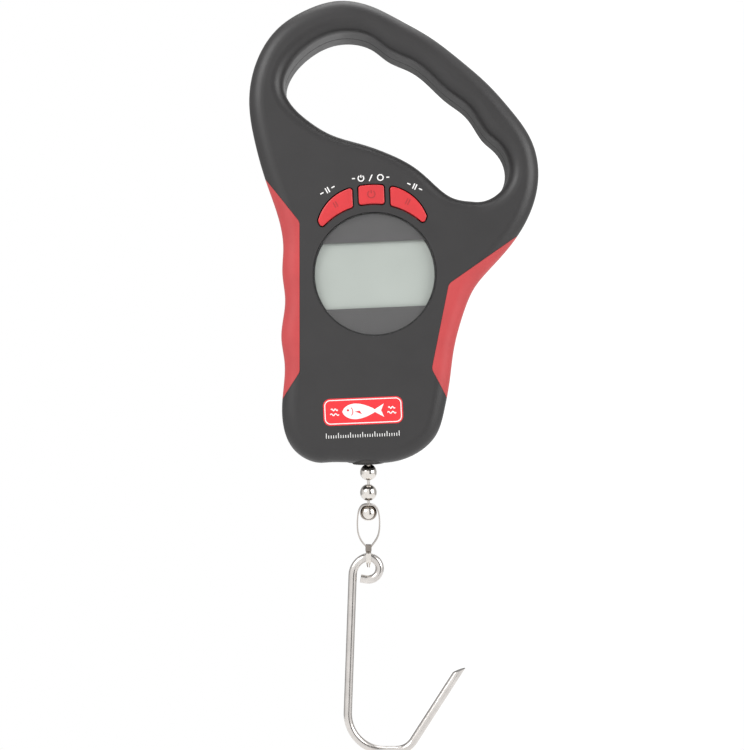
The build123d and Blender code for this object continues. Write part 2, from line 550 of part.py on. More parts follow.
# x past the tab, depth, and height from the tab, for each lead
UPPER_LEAD = [(-0.45, 4.1, 0), (-1.6, 4.0, 1.5), (-1.8, 2.6, 5.5), (-0.8, 0.2, 9.0), (1.2, -1.9, 11.5),
              (4.0, -2.4, 13.0)]
LOWER_LEAD = [(-0.45, 4.1, 0), (-1.6, 4.0, -1.5), (-1.8, 2.6, -5.0), (-0.4, 0.2, -8.0), (2.6, -1.9, -9.4),
              (6.0, -2.4, -10.2)]
battery_leads = []
for tab_z, lead in ((upper_z, UPPER_LEAD), (lower_z, LOWER_LEAD)):
    battery_leads.append(wire([(tab_end + x, y, tab_z + z) for x, y, z in lead], LEAD_R))
save_body("battery_leads", battery_leads)
GAUGE_WIRE_R = 0.35
gauge_wires = []
for side, gauge_x in ((-1, CELL_BLOCK_X[0] - GAUGE_THICK), (1, CELL_BLOCK_X[1] + GAUGE_THICK)):
    for lane in (-1.0, 1.0):
        start_x = gauge_x + side * (GAUGE_WIRE_R + 0.02)
        gauge_wires.append(wire([
            (start_x, lane, cell_middle_z + 1.5), (start_x + side * 0.9, lane, cell_middle_z + 5.5),
            (start_x + side * 1.2, lane * 0.9, cell_middle_z + 10.5),
            (start_x + side * 0.9, lane * 0.8 - 0.6, cell_middle_z + 15.0),
            (start_x - side * 0.8, lane * 0.3 - 2.2, cell_middle_z + 18.6),
            (start_x - side * 3.6, -2.6, cell_middle_z + 20.4 + lane)], GAUGE_WIRE_R))
save_body("gauge_wires", gauge_wires)

# ---------------------------------------------------------------- bead chain, on the load line
BEAD_NAMES = "abcde"
bead_heights = [FIRST_BEAD_Z - BEAD_PITCH * place for place in range(len(BEAD_NAMES))]
for name, height in zip(BEAD_NAMES, bead_heights):
    bead = Sphere(BEAD_R) - Sphere(BEAD_R - BEAD_WALL) - Cylinder(BEAD_HOLE_R, 3 * BEAD_R)
    save(f"bead_{name}", Pos(0, 0, height) * bead)
for place in range(len(BEAD_NAMES) - 1):
    upper_head = bead_heights[place] - LINK_PIVOT
    lower_head = bead_heights[place + 1] + LINK_PIVOT
    bar = Pos(0, 0, (upper_head + lower_head) / 2) * Cylinder(LINK_R, upper_head - lower_head)
    link = bar + Pos(0, 0, upper_head) * Sphere(LINK_HEAD_R) + Pos(0, 0, lower_head) * Sphere(LINK_HEAD_R)
    save(f"link_{BEAD_NAMES[place]}{BEAD_NAMES[place + 1]}", link)

# ---------------------------------------------------------------- end coupling of the chain
STRAP_THICK = 0.5
STRAP_CLEARANCE = 0.12
strap_top = bead_heights[-1] + sqrt(BEAD_R**2 - SEAT_R**2) + STRAP_CLEARANCE + STRAP_THICK
NECK_Z = strap_top - 16.4
strap_right = [(2.5, -0.5), (3.9, -2.6), (4.4, -5.6), (4.4, -9.4), (3.7, -12.6), (2.1, -15.2),
               (0.75, -17.0)]
strap_outline = [(0.0, strap_top - 18.0)] + [(x, strap_top + z) for x, z in reversed(strap_right)]
strap_outline += [(0.0, strap_top)] + [(-x, strap_top + z) for x, z in strap_right]
side_view = make_face(Polyline((-2.6, strap_top + 1), (2.6, strap_top + 1), (2.6, strap_top - 6),
                               (1.1, NECK_Z), (1.1, NECK_Z - 4), (-1.1, NECK_Z - 4), (-1.1, NECK_Z),
                               (-2.6, strap_top - 6), close=True))
strap = prism(loop(strap_outline) - loop(strap_outline, STRAP_THICK), -4, 4)
strap &= extrude(Plane.YZ.offset(-10) * side_view, 20)
strap -= Pos(0, 0, strap_top) * Cylinder(SEAT_R, 2)
strap &= Pos(0, 0, NECK_Z + 10) * Box(20, 20, 21.6)
save("strap_loop", strap)

RING_OUTER_R, RING_INNER_R = 2.65, 1.8
RING_TIP = 3.9                   # the ring's pointed end, below its centre
RING_HALF_WIDTH, TIP_HALF_WIDTH = 1.0, 0.45
GROOVE_HALF_WIDTH, GROOVE_DEPTH = 0.16, 0.35
tangent_z = -RING_OUTER_R**2 / RING_TIP
tangent_y = sqrt(RING_OUTER_R**2 - tangent_z**2)
ring_face = Circle(RING_OUTER_R)
ring_tip = Polyline((-tangent_y, tangent_z), (tangent_y, tangent_z), (0, -RING_TIP), close=True)
ring_face += make_face(ring_tip)
ring_face -= Circle(RING_INNER_R)
ring = extrude(Plane.YZ.offset(-RING_HALF_WIDTH) * ring_face, 2 * RING_HALF_WIDTH)
ring &= prism(make_face(Polyline((-RING_HALF_WIDTH, 4), (RING_HALF_WIDTH, 4), (RING_HALF_WIDTH, -1.2),
                                 (TIP_HALF_WIDTH, -RING_TIP), (-TIP_HALF_WIDTH, -RING_TIP),
                                 (-RING_HALF_WIDTH, -1.2), close=True)), -4, 4)
groove = block((-GROOVE_HALF_WIDTH, GROOVE_HALF_WIDTH), (-4, 4), (-RING_TIP - 1, 4))
groove -= Rot(0, 90, 0) * Cylinder(RING_OUTER_R - GROOVE_DEPTH, 2)
ring = Pos(0, 0, EYE_TOP_Z) * (ring - groove)
save("lower_loop", ring)
sleeve_low = EYE_TOP_Z + RING_OUTER_R - 0.35
sleeve_high = NECK_Z + 0.9
sleeve = Pos(0, 0, (sleeve_low + sleeve_high) / 2) * Box(2.3, 2.9, sleeve_high - sleeve_low)
sleeve = fillet(sleeve.edges(), 0.35)
sleeve -= [strap, ring]
save("loop_sleeve", sleeve.solids().sort_by(SortBy.VOLUME)[-1])

# ---------------------------------------------------------------- hook
EYE_CENTRE_Z = EYE_TOP_Z - EYE_R
SHANK_TOP_X, SHANK_FOOT_X, HEEL_X = -5.85, -8.35, 14.8
HEEL_ROUND, TOE_ROUND = 14.0, 8.0
ARM_ANGLE = 57.2
ARM_LENGTH = 41.5
POINT_X, POINT_Z = 37.0, -237.3
POINT_BEVEL = 20.6
SHOULDER_ANGLE = 115             # where the eye's curve opens out into the shank
TAIL_ANGLE, TAIL_LENGTH = -100, 2.3  # where the eye ends in a short straight tail


def eye_point(angle):
    """Point of the eye's wire centre, measured anticlockwise from the right."""
    return Vector(EYE_R * cos(radians(angle)), 0, EYE_CENTRE_Z + EYE_R * sin(radians(angle)))


shoulder = eye_point(SHOULDER_ANGLE)
away = Vector(-sin(radians(SHOULDER_ANGLE)), 0, cos(radians(SHOULDER_ANGLE)))
corner = shoulder + away * ((SHANK_TOP_X - shoulder.X) / away.X)
foot = Vector(SHANK_FOOT_X, 0, HOOK_BOTTOM_Z)
shank_way = (foot - corner).normalized()
shank_top = corner + shank_way * (corner - shoulder).length
arm_way = Vector(cos(radians(ARM_ANGLE)), 0, sin(radians(ARM_ANGLE)))
arm_end = Vector(HEEL_X, 0, HOOK_BOTTOM_Z) + arm_way * ARM_LENGTH
tail_start = eye_point(TAIL_ANGLE)
tail_way = Vector(-sin(radians(TAIL_ANGLE)), 0, cos(radians(TAIL_ANGLE)))
tail = Line(tail_start - tail_way * TAIL_LENGTH, tail_start)
eye_arc = ThreePointArc(tail_start, eye_point(0), shoulder)
shoulder_arc = TangentArc(shoulder, shank_top, tangent=away)
hook_line = FilletPolyline(shank_top, foot, Vector(HEEL_X, 0, HOOK_BOTTOM_Z), arm_end,
                           radius=[HEEL_ROUND, TOE_ROUND])
hook_path = Wire([tail, eye_arc, shoulder_arc, *hook_line.edges()])
hook = sweep(Plane(origin=hook_path @ 0, z_dir=hook_path % 0) * Circle(WIRE_R), path=hook_path)
print("hook", round(hook.volume, 1), "expected", round(hook_path.length * 3.14159 * WIRE_R**2, 1))
hook -= Pos(POINT_X, 0, POINT_Z) * Rot(0, -POINT_BEVEL, 0) * Pos(0, 0, 10) * Box(40, 20, 20)
save("hook", hook)
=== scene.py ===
import json
from math import atan2, cos, pi, radians, sin, sqrt

import bmesh
import bpy
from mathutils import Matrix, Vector


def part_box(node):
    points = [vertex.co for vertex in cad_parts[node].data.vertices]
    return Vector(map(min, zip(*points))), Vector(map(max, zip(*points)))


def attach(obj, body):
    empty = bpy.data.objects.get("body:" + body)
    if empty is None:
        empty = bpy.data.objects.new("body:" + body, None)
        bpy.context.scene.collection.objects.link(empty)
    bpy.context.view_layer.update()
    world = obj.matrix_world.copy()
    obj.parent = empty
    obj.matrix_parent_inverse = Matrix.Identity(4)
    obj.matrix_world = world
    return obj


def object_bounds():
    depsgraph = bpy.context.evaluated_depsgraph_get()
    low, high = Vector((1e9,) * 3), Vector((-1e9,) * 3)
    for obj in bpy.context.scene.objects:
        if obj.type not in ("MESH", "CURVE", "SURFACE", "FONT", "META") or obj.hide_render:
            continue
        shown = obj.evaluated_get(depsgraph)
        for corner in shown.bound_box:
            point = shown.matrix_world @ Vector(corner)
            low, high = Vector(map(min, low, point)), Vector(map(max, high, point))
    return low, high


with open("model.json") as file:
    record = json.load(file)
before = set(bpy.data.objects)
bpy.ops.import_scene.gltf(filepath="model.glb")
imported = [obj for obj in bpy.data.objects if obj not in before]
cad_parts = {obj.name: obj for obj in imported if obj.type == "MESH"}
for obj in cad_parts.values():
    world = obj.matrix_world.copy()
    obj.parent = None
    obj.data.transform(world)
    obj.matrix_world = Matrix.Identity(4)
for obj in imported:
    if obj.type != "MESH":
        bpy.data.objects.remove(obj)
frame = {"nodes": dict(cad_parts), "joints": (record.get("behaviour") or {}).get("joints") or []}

# Looks of the digital fish scale: materials for the CAD pieces, printed and embossed details, a studio.
# Drawing on the body uses millimetres right of and above the display centre, along the leaning body.

MM = 0.001
cad_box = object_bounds()
nodes = frame["nodes"]

# ---------------------------------------------------------------- the leaning body's own axes
hinge = next(joint for joint in frame["joints"] if joint["name"] == "door_hinge")
LEAN = atan2(hinge["axis"][2], hinge["axis"][0])
RIGHT = Vector((cos(LEAN), 0, sin(LEAN)))
UP = Vector((-sin(LEAN), 0, cos(LEAN)))
window_low, window_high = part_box("display_window")
DISPLAY_CENTRE = (window_low + window_high) / 2
WINDOW_R = (window_high.x - window_low.x) / 2 / MM
FACE_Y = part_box("front_cover")[0].y
WINDOW_BACK_Y = window_high.y
BUTTON_FACE_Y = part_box("button_centre")[0].y


def on_body(x, z, y):
    """World point from millimetres across and up the body, and a depth in metres."""
    point = DISPLAY_CENTRE + RIGHT * (x * MM) + UP * (z * MM)
    return Vector((point.x, y, point.z))


def clock(radius, angle):
    """Point at an angle clockwise from straight up, about the display centre."""
    return (radius * sin(radians(angle)), radius * cos(radians(angle)))


# ---------------------------------------------------------------- node helpers for materials
WAVE_PERIOD = 0.314              # metres from band to band where the wave texture's scale is 1


class Shader:
    """A Principled material and short ways to add the nodes that these materials use."""

    def __init__(self, name, colour, roughness, metallic=0.0, **uniform):
        self.material = bpy.data.materials.new(name)
        self.material.use_nodes = True
        self.nodes = self.material.node_tree.nodes
        self.links = self.material.node_tree.links
        self.principled = self.nodes["Principled BSDF"]
        self.set("Base Color", (*colour, 1))
        self.set("Roughness", roughness)
        self.set("Metallic", metallic)
        for socket, value in uniform.items():
            self.set(socket.replace("_", " "), value)
        self.place = self.nodes.new("ShaderNodeTexCoord").outputs["Object"]

    def set(self, socket, value):
        self.principled.inputs[socket].default_value = value

    def scaled(self, scale):
        """Object coordinates multiplied by a scale for each axis."""
        mapping = self.nodes.new("ShaderNodeMapping")
        mapping.inputs["Scale"].default_value = scale
        self.links.new(self.place, mapping.inputs["Vector"])
        return mapping.outputs["Vector"]

    def noise(self, grain, detail=3.0, stretch=(1, 1, 1), distortion=0.0):
        """Noise whose features are about this many metres across."""
        node = self.nodes.new("ShaderNodeTexNoise")
        node.inputs["Scale"].default_value = 1 / grain
        node.inputs["Detail"].default_value = detail
        node.inputs["Distortion"].default_value = distortion
        self.links.new(self.scaled(stretch), node.inputs["Vector"])
        return node.outputs["Fac"]

    def cells(self, grain, feature="F1"):
        """Voronoi cells about this many metres across."""
        node = self.nodes.new("ShaderNodeTexVoronoi")
        node.feature = feature
        node.inputs["Scale"].default_value = 1 / grain
        self.links.new(self.place, node.inputs["Vector"])
        return node.outputs["Distance"]

    def stripes(self, period, direction="X"):
        """Bands across one axis, this many metres apart."""
        node = self.nodes.new("ShaderNodeTexWave")
        node.bands_direction = direction
        node.inputs["Scale"].default_value = WAVE_PERIOD / period
        self.links.new(self.place, node.inputs["Vector"])
        return node.outputs["Fac"]

    def ramp(self, value, stops):
        """Colours or greys along a value."""
        node = self.nodes.new("ShaderNodeValToRGB")
        elements = node.color_ramp.elements
        for index, (position, colour) in enumerate(stops):
            if index < 2:
                element = elements[index]
            else:
                element = elements.new(position)
            element.position = position
            element.color = (*colour, 1) if len(colour) == 3 else (colour[0],) * 3 + (1,)
        self.links.new(value, node.inputs["Fac"])
        return node.outputs["Color"]

    def between(self, value, low, high):
        """Value from 0 to 1, spread between two numbers."""
        node = self.nodes.new("ShaderNodeMapRange")
        node.inputs["To Min"].default_value = low
        node.inputs["To Max"].default_value = high
        self.links.new(value, node.inputs["Value"])
        return node.outputs["Result"]

    def colour(self, value, stops):
        self.links.new(self.ramp(value, stops), self.principled.inputs["Base Color"])
        return self

    def rough(self, value, low, high):
        self.links.new(self.between(value, low, high), self.principled.inputs["Roughness"])
        return self

    def bump(self, value, height, strength=1.0):
        """Raise the surface by a height in metres; further calls stack."""
        node = self.nodes.new("ShaderNodeBump")
        node.inputs["Distance"].default_value = height
        node.inputs["Strength"].default_value = strength
        self.links.new(value, node.inputs["Height"])
        normal = self.principled.inputs["Normal"]
        if normal.links:
            self.links.new(normal.links[0].from_socket, node.inputs["Normal"])
        self.links.new(node.outputs["Normal"], normal)
        return self


def near(colour, spread):
    """Two colours a little darker and lighter than this one, as ramp stops."""
    dark = tuple(max(part * (1 - spread), 0) for part in colour)
    light = tuple(min(part * (1 + spread), 1) for part in colour)
    return [(0.3, dark), (0.7, light)]


# ---------------------------------------------------------------- materials
def moulded(name, colour, roughness, texture=0.00028, depth=0.000012, spread=0.07):
    """Moulded plastic with a spark-eroded texture and a faint mottle."""
    shader = Shader(name, colour, roughness)
    shader.colour(shader.noise(0.011, 4), near(colour, spread))
    shader.rough(shader.noise(0.004, 3), roughness - 0.05, roughness + 0.07)
    shader.bump(shader.noise(texture, 2), depth)
    shader.bump(shader.noise(0.006, 2), 0.00003, 0.35)
    return shader.material


def soft_touch(name, colour):
    """Overmoulded rubber: matt, a little powdery at grazing angles, with a fine pebble."""
    shader = Shader(name, colour, 0.55, Sheen_Weight=0.12, Sheen_Roughness=0.45)
    shader.set("Sheen Tint", (1.0, 0.75, 0.72, 1))
    shader.colour(shader.noise(0.009, 5), near(colour, 0.06))
    shader.rough(shader.noise(0.003, 3), 0.46, 0.62)
    shader.bump(shader.cells(0.00042, "SMOOTH_F1"), 0.00002, 0.5)
    shader.bump(shader.noise(0.005, 2), 0.00004, 0.3)
    return shader.material


def gloss_button(name, colour):
    """Semi-gloss button plastic with faint flow marks."""
    shader = Shader(name, colour, 0.32, Coat_Weight=0.25, Coat_Roughness=0.18)
    shader.colour(shader.noise(0.004, 4), near(colour, 0.05))
    shader.rough(shader.noise(0.0015, 3), 0.26, 0.4)
    shader.bump(shader.noise(0.00035, 2), 0.000008)
    return shader.material


def clear_acrylic(name):
    """The window itself: nearly all light passes, with hairline scratches in the polish."""
    shader = Shader(name, (0.02, 0.021, 0.02), 0.05, Alpha=0.06)
    shader.rough(shader.noise(0.0008, 4, (6, 1, 1)), 0.03, 0.12)
    shader.bump(shader.noise(0.012, 1), 0.00002, 0.4)
    return shader.material


def liquid_crystal(name):
    """Reflective display behind its polariser: pale grey-green with a fine grain, nothing shown."""
    shader = Shader(name, LCD_COLOUR, 0.3, Coat_Weight=0.35, Coat_Roughness=0.06)
    shader.colour(shader.noise(0.016, 2), near(LCD_COLOUR, 0.035))
    shader.rough(shader.noise(0.0004, 2), 0.26, 0.38)
    shader.bump(shader.noise(0.00009, 1), 0.000002)
    return shader.material


def back_print_and_painted_shade(name, colour):
    """Ink on the back of the window, seen glossy through it; the dark rim made with it is painted shade for
    the gap round the window.
    """
    shader = Shader(name, colour, 0.4, Coat_Weight=0.6, Coat_Roughness=0.07)
    shader.colour(shader.noise(0.012, 3), near(colour, 0.05))
    shader.rough(shader.noise(0.002, 2), 0.34, 0.46)
    return shader.material


def ink(name, colour, roughness=0.5):
    """Pad-printed ink: thin, even, with a slightly broken surface."""
    shader = Shader(name, colour, roughness)
    shader.colour(shader.noise(0.0006, 4), near(colour, 0.06))
    shader.bump(shader.noise(0.0002, 2), 0.000006)
    return shader.material


def nickel(name, colour, roughness):
    """Bright plating with soft tumbling marks."""
    shader = Shader(name, colour, roughness, 1.0)
    shader.colour(shader.noise(0.0022, 4), near(colour, 0.07))
    shader.rough(shader.noise(0.0009, 4), roughness * 0.7, roughness * 1.5)
    shader.bump(shader.noise(0.00035, 3), 0.000004)
    return shader.material


def drawn_wire(name, colour, roughness, along=(0.06, 1, 0.06)):
    """Polished stainless wire with fine scratches and a trace of drawing lines."""
    shader = Shader(name, colour, roughness, 1.0)
    shader.colour(shader.noise(0.004, 4), near(colour, 0.08))
    shader.rough(shader.noise(0.0006, 5, along), roughness * 0.7, roughness * 1.6)
    shader.bump(shader.noise(0.00022, 3, along), 0.000005, 0.8)
    shader.bump(shader.noise(0.0025, 2), 0.00001, 0.4)
    return shader.material


def plated_steel(name, colour, roughness=0.3):
    """Pressed or turned steel with zinc or nickel plating."""
    shader = Shader(name, colour, roughness, 1.0)
    shader.colour(shader.noise(0.0018, 4), near(colour, 0.12))
    shader.rough(shader.noise(0.0007, 3), roughness * 0.7, roughness * 1.5)
    shader.bump(shader.noise(0.0003, 3), 0.000006)
    return shader.material


def milled_aluminium(name):
    """Load cell block: fine cutter lines across it."""
    shader = Shader(name, (0.74, 0.74, 0.75), 0.34, 1.0, Anisotropic=0.4)
    shader.rough(shader.noise(0.0012, 3, (1, 1, 8)), 0.26, 0.44)
    shader.bump(shader.stripes(0.0006, "Z"), 0.000004, 0.6)
    return shader.material


def circuit_board(name):
    """Green solder mask over copper tracks that show as a lighter, slightly raised pattern."""
    shader = Shader(name, (0.02, 0.16, 0.07), 0.32, Coat_Weight=0.4, Coat_Roughness=0.15)
    tracks = shader.ramp(shader.cells(0.0035, "DISTANCE_TO_EDGE"), [(0.02, (1,)), (0.06, (0,))])
    shader.colour(tracks, [(0.0, (0.012, 0.11, 0.045)), (1.0, (0.04, 0.24, 0.09))])
    shader.bump(tracks, 0.00003, 0.7)
    return shader.material


def chip_resin(name):
    """Epoxy package with a sandy surface."""
    shader = Shader(name, CHIP_COLOUR, 0.6)
    shader.colour(shader.noise(0.0006, 3), near(CHIP_COLOUR, 0.3))
    shader.bump(shader.noise(0.00015, 2), 0.00001)
    return shader.material


def zebra(name):
    """Elastomer strip with alternating conductive layers."""
    shader = Shader(name, (0.3, 0.2, 0.2), 0.7)
    shader.colour(shader.stripes(0.0004), [(0.45, (0.02, 0.02, 0.02)), (0.55, (0.5, 0.28, 0.3))])
    return shader.material


def cell_wrap(name, node_name, nub_first):
    """Battery sleeve with no lettering: bare steel ends, a copper-coloured shoulder, a dark green body."""
    low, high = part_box(node_name)
    shader = Shader(name, (0.03, 0.12, 0.07), 0.28, 0.6)
    across = shader.nodes.new("ShaderNodeSeparateXYZ")
    shader.links.new(shader.place, across.inputs["Vector"])
    share = shader.nodes.new("ShaderNodeMapRange")
    share.inputs["From Min"].default_value = low.x if nub_first else high.x
    share.inputs["From Max"].default_value = high.x if nub_first else low.x
    shader.links.new(across.outputs["X"], share.inputs["Value"])
    steel, copper, green = (0.6, 0.59, 0.57), (0.62, 0.34, 0.16), (0.02, 0.1, 0.06)
    shader.colour(share.outputs["Result"], [(0.028, steel), (0.034, copper), (0.27, copper), (0.276, green),
                                            (0.985, green), (0.99, steel)])
    shader.rough(shader.noise(0.002, 3), 0.22, 0.38)
    shader.bump(shader.noise(0.0025, 2), 0.00001, 0.5)
    return shader.material


def gauge_foil(name):
    """Amber film with a fine metal grid."""
    shader = Shader(name, (0.55, 0.3, 0.08), 0.35)
    shader.colour(shader.stripes(0.0004, "Z"), [(0.4, (0.6, 0.33, 0.09)), (0.6, (0.45, 0.4, 0.33))])
    return shader.material


def lead(name, colour):
    """Soft PVC insulation."""
    shader = Shader(name, colour, 0.42)
    shader.colour(shader.noise(0.002, 3), near(colour, 0.08))
    shader.bump(shader.noise(0.0005, 2), 0.00001)
    return shader.material


SHELL_COLOUR = (0.0212, 0.0200, 0.0204)
GRIP_COLOUR = (0.46, 0.043, 0.046)
BUTTON_COLOUR = (0.56, 0.0175, 0.0235)
LCD_COLOUR = (0.455, 0.495, 0.46)
NICKEL_COLOUR = (0.72, 0.685, 0.645)
STEEL_COLOUR = (0.63, 0.60, 0.575)
# The strap's darker nickel is painted shade for the dimmer light on its edge-on band.
STRAP_PAINTED_SHADE_COLOUR = (0.46, 0.425, 0.395)
# The sleeve's dark metal colour is painted shade for its shadowed groove.
SLEEVE_PAINTED_SHADE_COLOUR = (0.27, 0.24, 0.215)
CHIP_COLOUR = (0.022, 0.022, 0.024)

shell = moulded("shell_satin_black", SHELL_COLOUR, 0.42)
black_trim = moulded("trim_black", (0.024, 0.021, 0.019), 0.5)
grip_red = soft_touch("grip_soft_red", GRIP_COLOUR)
button_red = gloss_button("button_red", BUTTON_COLOUR)
frame_white = moulded("frame_white", (0.7, 0.7, 0.68), 0.5, spread=0.03)
component_tan = moulded("component_ceramic", (0.45, 0.39, 0.31), 0.5, spread=0.12)
chain_metal = nickel("chain_nickel_plate", NICKEL_COLOUR, 0.12)
# Strap nickel darkened as painted shade, below the bright chain plating.
strap_painted_shade_metal = nickel("strap_nickel_painted_shade", STRAP_PAINTED_SHADE_COLOUR, 0.2)
# Sleeve plating darkened as painted shade for the groove at the lower ring.
sleeve_painted_shade_metal = nickel("sleeve_painted_shade_plate", SLEEVE_PAINTED_SHADE_COLOUR, 0.32)
hook_metal = drawn_wire("hook_polished_wire", STEEL_COLOUR, 0.17)
screw_metal = plated_steel("screw_zinc", (0.58, 0.58, 0.57))
contact_metal = plated_steel("contact_nickel", (0.66, 0.63, 0.58), 0.22)
bracket_metal = plated_steel("bracket_stainless", (0.6, 0.59, 0.57), 0.26)
upper_wrap = cell_wrap("cell_wrap_upper", "battery_upper", True)
lower_wrap = cell_wrap("cell_wrap_lower", "battery_lower", False)
lead_red = lead("lead_red", (0.5, 0.03, 0.03))
lead_white = lead("lead_white", (0.6, 0.58, 0.55))
white_ink = ink("ink_white", (0.80, 0.79, 0.78))
badge_ink = ink("badge_red", (0.72, 0.02, 0.028), 0.3)
mask_ink = back_print_and_painted_shade("window_mask_grey", (0.085, 0.083, 0.084))
# The rim's near-black is painted shade for the shadowed gap round the window.
rim_painted_gap_shade = back_print_and_painted_shade("window_rim_painted_gap_shade", (0.006, 0.006, 0.0065))

NODE_MATERIALS = {
    "front_cover": shell, "rear_cover": shell, "battery_door": shell, "exit_bush": black_trim,
    "left_grip": grip_red, "right_grip": grip_red,
    "button_left": button_red, "button_centre": button_red, "button_right": button_red,
    "plunger_left": black_trim, "plunger_centre": black_trim, "plunger_right": black_trim,
    "switch_bodies": black_trim, "display_window": clear_acrylic("window_clear"),
    "lcd_panel": liquid_crystal("lcd_polariser"), "lcd_frame": frame_white,
    "backlight_panel": frame_white, "zebra_strips": zebra("zebra_elastomer"),
    "pcb": circuit_board("board_green"), "controller_chip": chip_resin("chip_epoxy"),
    "pcb_components": component_tan, "battery_upper": upper_wrap, "battery_lower": lower_wrap,
    "positive_contact": contact_metal, "negative_contact": contact_metal,
    "series_contact": contact_metal, "battery_springs": contact_metal,
    "load_cell": milled_aluminium("cell_milled"), "strain_gauges": gauge_foil("gauge_film"),
    "draw_bracket": bracket_metal, "case_screws": screw_metal, "pcb_screws": screw_metal,
    "load_cell_screws": screw_metal, "bracket_screws": screw_metal,
    "battery_leads": lead_red, "gauge_wires": lead_white,
    "strap_loop": strap_painted_shade_metal, "loop_sleeve": sleeve_painted_shade_metal,
    "hook": hook_metal,
}
for node_name, node in nodes.items():
    finish = NODE_MATERIALS.get(node_name, chain_metal)
    node.data.materials.clear()
    node.data.materials.append(finish)


# ---------------------------------------------------------------- thin printed and raised pieces
def piece(name, mesh_maker, body, material):
    """Object from a bmesh, riding on a body."""
    mesh = bpy.data.meshes.new(name)
    bm = bmesh.new()
    mesh_maker(bm)
    bmesh.ops.recalc_face_normals(bm, faces=bm.faces)
    bm.to_mesh(mesh)
    bm.free()
    made = bpy.data.objects.new(name, mesh)
    bpy.context.scene.collection.objects.link(made)
    mesh.materials.append(material)
    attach(made, body)
    return made


def plate(bm, outline, front_y, back_y):
    """Closed slab from a filled outline."""
    fronts = [bm.verts.new(on_body(x, z, front_y)) for x, z in outline]
    backs = [bm.verts.new(on_body(x, z, back_y)) for x, z in outline]
    bm.faces.new(fronts)
    bm.faces.new(backs[::-1])
    for index in range(len(outline)):
        after = (index + 1) % len(outline)
        bm.faces.new((fronts[index], backs[index], backs[after], fronts[after]))


def ribbon(bm, line, width, front_y, back_y, closed=False):
    """Closed strip of even width along a line of points."""
    count = len(line)
    rings = []
    for index, (x, z) in enumerate(line):
        before = line[(index - 1) % count] if closed or index else line[0]
        after = line[(index + 1) % count] if closed or index < count - 1 else line[-1]
        way = Vector((after[0] - before[0], after[1] - before[1])).normalized()
        side = Vector((-way.y, way.x)) * (width / 2)
        corners = ((x + side.x, z + side.y), (x - side.x, z - side.y))
        (left_x, left_z), (right_x, right_z) = corners
        section = ((left_x, left_z, front_y), (right_x, right_z, front_y),
                   (right_x, right_z, back_y), (left_x, left_z, back_y))
        rings.append([bm.verts.new(on_body(*corner)) for corner in section])
    pairs = list(zip(rings, rings[1:]))
    if closed:
        pairs.append((rings[-1], rings[0]))
    else:
        bm.faces.new(rings[0])
        bm.faces.new(rings[-1][::-1])
    for here, there in pairs:
        for corner in range(4):
            following = (corner + 1) % 4
            bm.faces.new((here[corner], there[corner], there[following], here[following]))


def arc(centre, radius, start, end, steps=24):
    """Points along an arc, in degrees anticlockwise from the right."""
    angles = [radians(start + (end - start) * step / steps) for step in range(steps + 1)]
    return [(centre[0] + radius * cos(angle), centre[1] + radius * sin(angle)) for angle in angles]


def circle(centre, radius, steps=32):
    return arc(centre, radius, 0, 360, steps)[:-1]


def rounded_rectangle(centre, width, height, radius):
    """Outline of a rectangle with round corners."""
    points = []
    for quarter, (side_x, side_z) in enumerate(((1, 1), (-1, 1), (-1, -1), (1, -1))):
        middle = (centre[0] + side_x * (width / 2 - radius), centre[1] + side_z * (height / 2 - radius))
        points += arc(middle, radius, 90 * quarter, 90 * quarter + 90, 8)
    return points


def turned(points, centre, angle):
    """Points turned clockwise by degrees about the origin, then moved to a centre."""
    turn = radians(-angle)
    return [(centre[0] + x * cos(turn) - z * sin(turn), centre[1] + x * sin(turn) + z * cos(turn))
            for x, z in points]


# ---------------------------------------------------------------- window mask
MASK_INSET = 0.55
MASK_R = WINDOW_R - MASK_INSET
RIM_WIDTH = 0.5
LCD_TOP, LCD_BOTTOM = 12.0, -12.4
INK_THICK = 0.00003
INK_GAP = 0.00001
MASK_FRONT = WINDOW_BACK_Y + INK_GAP


def mask_segments(bm):
    """Grey print above and below the display."""
    for edge, side in ((LCD_TOP, 1), (LCD_BOTTOM, -1)):
        half_width = sqrt(MASK_R**2 - edge**2)
        start = atan2(abs(edge), half_width) * 180 / pi
        points = arc((0, 0), MASK_R, start, 180 - start, 64)
        plate(bm, [(x, side * z) for x, z in points], MASK_FRONT, MASK_FRONT + INK_THICK)


def painted_gap_shade_ring(bm):
    """Dark ring round the window's edge, drawn as ink on the window's back: painted shade for the shadowed
    gap between window and cover.
    """
    middle = MASK_R + RIM_WIDTH / 2
    ribbon(bm, circle((0, 0), middle, 128), RIM_WIDTH, MASK_FRONT, MASK_FRONT + INK_THICK, closed=True)


piece("window_mask", mask_segments, "root", mask_ink)
piece("window_rim_painted_shade_ring", painted_gap_shade_ring, "root", rim_painted_gap_shade)

# ---------------------------------------------------------------- pictograms
PRINT_FRONT = FACE_Y - 0.00002
PRINT_BACK = FACE_Y + 0.00004
EMBOSS_FRONT = BUTTON_FACE_Y - 0.00007
EMBOSS_BACK = BUTTON_FACE_Y + 0.00008
LEGEND_R = 35.6
SIDE_LEGEND_ANGLE = 27.0
SIDE_SIGN_R, CENTRE_SIGN_R = 29.4, 29.5
LEGEND_SIZE = 1.05
LEGEND_SPACING = 3.6
SIDE_SIGN_SIZE, CENTRE_SIGN_SIZE = 1.1, 1.35
# Factor that darkens the button red for the raised signs: painted shade.
SIGN_PAINTED_SHADE = 0.62
PRINT_STROKE = 0.42
EMBOSS_STROKE = 0.4


def power_sign(size):
    """Lines of the usual on-off sign: an open ring and an upright bar."""
    return [arc((0, 0), size, 125, 415), [(0, size * 0.25), (0, size * 1.15)]]


def pause_sign(size):
    """Two upright bars, for holding a reading."""
    return [[(side * size * 0.42, -size), (side * size * 0.42, size)] for side in (-1, 1)]


